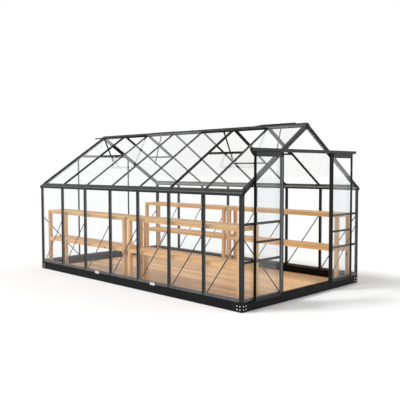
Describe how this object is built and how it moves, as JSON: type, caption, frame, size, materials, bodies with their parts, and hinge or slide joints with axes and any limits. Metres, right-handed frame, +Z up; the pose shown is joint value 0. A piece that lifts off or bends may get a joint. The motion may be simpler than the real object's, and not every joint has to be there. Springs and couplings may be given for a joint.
{
  "type": "polycarbonate greenhouse",
  "caption": "Gabled greenhouse in black metal bars with clear sheets, sliding doors in the front gable, open roof vents, a boarded floor and two-tier timber staging.",
  "frame": {"origin": "centre of the footprint, at ground level, on the underside of the floor", "axes": "+Y along the house away from the doors, +X across it, +Z up"},
  "size_m": [2.54, 4.388, 2.2752],
  "materials": {
    "base_steel": "satin black powder coat on folded steel",
    "frame_metal": "satin charcoal powder coat on aluminium bars",
    "sill_metal": "satin grey powder coat",
    "black_plastic": "moulded black plastic",
    "clear_sheet": "clear polycarbonate, faintly grey",
    "floor_wood": "oiled orange-brown boards",
    "pine": "planed light pine"
  },
  "bodies": {
    "greenhouse": {"base_front": "base_steel", "base_back": "base_steel", "base_left": "base_steel", "base_right": "base_steel", "floor_deck": "floor_wood", "corner_posts": "frame_metal", "left_posts": "frame_metal", "right_posts": "frame_metal", "side_sills": "sill_metal", "gable_sills": "sill_metal", "left_eave_beam": "frame_metal", "right_eave_beam": "frame_metal", "left_rafters": "frame_metal", "right_rafters": "frame_metal", "gable_rafters": "frame_metal", "ridge_beam": "frame_metal", "end_caps": "black_plastic", "gable_studs": "frame_metal", "gable_rails": "frame_metal", "wall_braces": "frame_metal", "left_wall_panels": "clear_sheet", "right_wall_panels": "clear_sheet", "front_gable_panels": "clear_sheet", "back_gable_panels": "clear_sheet", "left_roof_panels": "clear_sheet", "right_roof_panels": "clear_sheet", "roof_cross_bars": "frame_metal", "left_vent_frames": "frame_metal", "right_vent_frames": "frame_metal", "vent_panes": "clear_sheet", "vent_stays": "black_plastic", "door_track": "frame_metal", "door_threshold": "base_steel", "left_bench_legs": "pine", "left_bench_rails": "pine", "left_bench_boards": "pine", "right_bench_legs": "pine", "right_bench_rails": "pine", "right_bench_boards": "pine"},
    "left_door": {"left_door_frame": "frame_metal", "left_door_panes": "clear_sheet", "left_door_rollers": "black_plastic"},
    "right_door": {"right_door_frame": "frame_metal", "right_door_panes": "clear_sheet", "right_door_rollers": "black_plastic"}
  },
  "joints": [
    {"name": "left_door_slide", "type": "slide", "parent": "greenhouse", "child": "left_door", "axis": [1, 0, 0], "range_m": [0, 0.532]},
    {"name": "right_door_slide", "type": "slide", "parent": "greenhouse", "child": "right_door", "axis": [-1, 0, 0], "range_m": [0, 0.507]}
  ]
}
